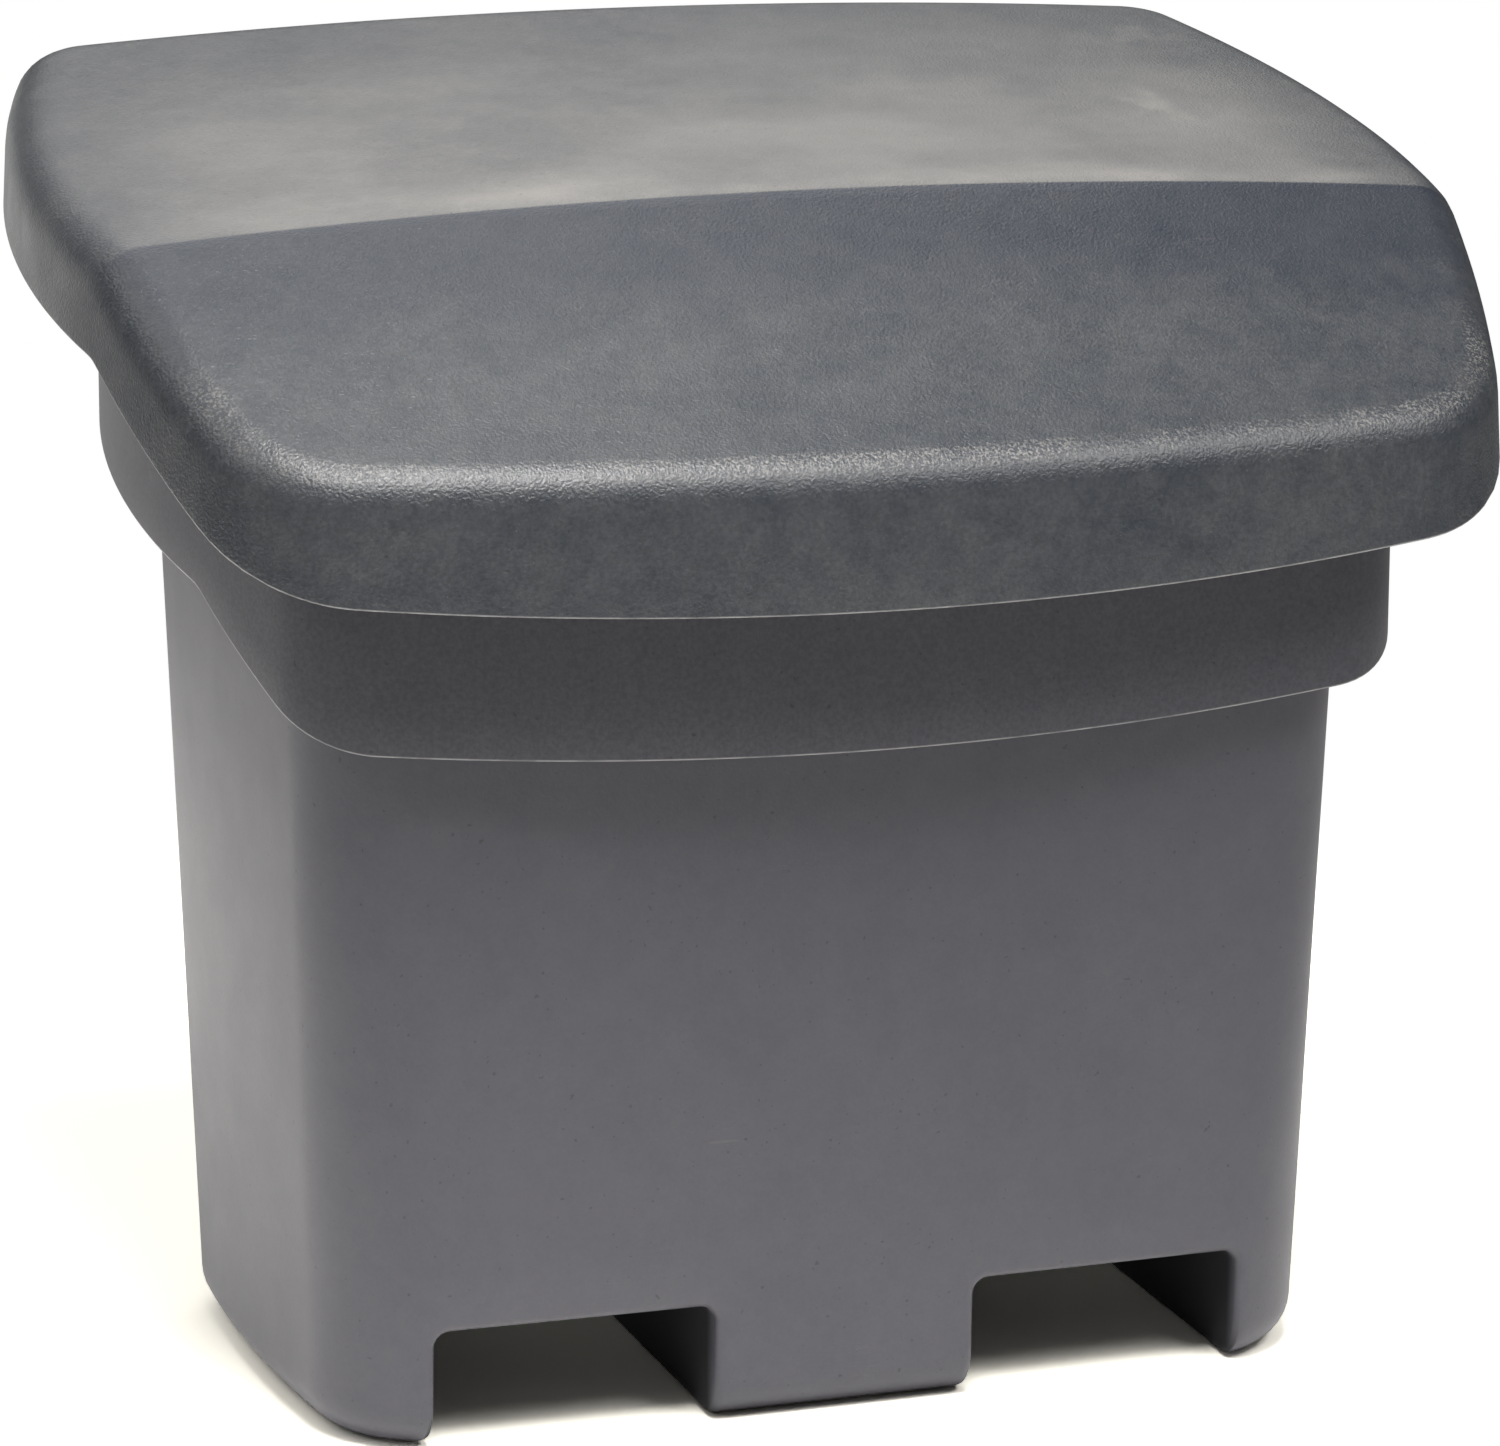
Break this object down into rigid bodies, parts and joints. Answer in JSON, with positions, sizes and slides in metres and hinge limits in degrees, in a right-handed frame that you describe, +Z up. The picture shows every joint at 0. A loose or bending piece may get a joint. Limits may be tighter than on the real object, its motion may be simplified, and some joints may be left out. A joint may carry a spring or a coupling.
{
  "type": "grit salt bin",
  "caption": "Moulded grit bin with fork channels through its base, a hanging collar round its top and an overhanging sloped lid on hinges hidden at the rear.",
  "frame": {"origin": "on the ground, on the underside of the middle foot, below the middle of the lid's plan", "axes": "+X to the right along the width, +Y to the rear where the hinges are, +Z up"},
  "size_m": [1.0974, 0.7698, 0.9952],
  "materials": {
    "tub_plastic": "rotomoulded polyethylene with a fine grain",
    "lid_plastic": "rotomoulded polyethylene, weathered on top",
    "stainless_plate": "brushed stainless steel",
    "fastener_steel": "turned stainless steel",
    "nylon": "natural nylon"
  },
  "bodies": {
    "bin_body": {"tub": "tub_plastic", "hinge_bracket_left": "stainless_plate", "hinge_bracket_right": "stainless_plate", "hinge_pin_left": "fastener_steel", "hinge_pin_right": "fastener_steel", "pin_clip_left": "fastener_steel", "pin_clip_right": "fastener_steel", "collar_backing_plate_left": "stainless_plate", "collar_backing_plate_right": "stainless_plate", "bracket_bolts": "fastener_steel", "bracket_washers": "fastener_steel", "bracket_nuts": "fastener_steel"},
    "lid_body": {"lid": "lid_plastic", "hinge_leaf_left": "stainless_plate", "hinge_leaf_right": "stainless_plate", "hinge_bushes_left": "nylon", "hinge_bushes_right": "nylon", "lid_backing_plate_left": "stainless_plate", "lid_backing_plate_right": "stainless_plate", "lid_bolts": "fastener_steel", "lid_washers": "fastener_steel", "lid_nuts": "fastener_steel"}
  },
  "joints": [
    {"name": "lid_hinge", "type": "hinge", "parent": "bin_body", "child": "lid_body", "pos_m": [0, 0.3412, 0.91334], "axis": [-1, 0, 0], "range_deg": [0, 105]}
  ]
}
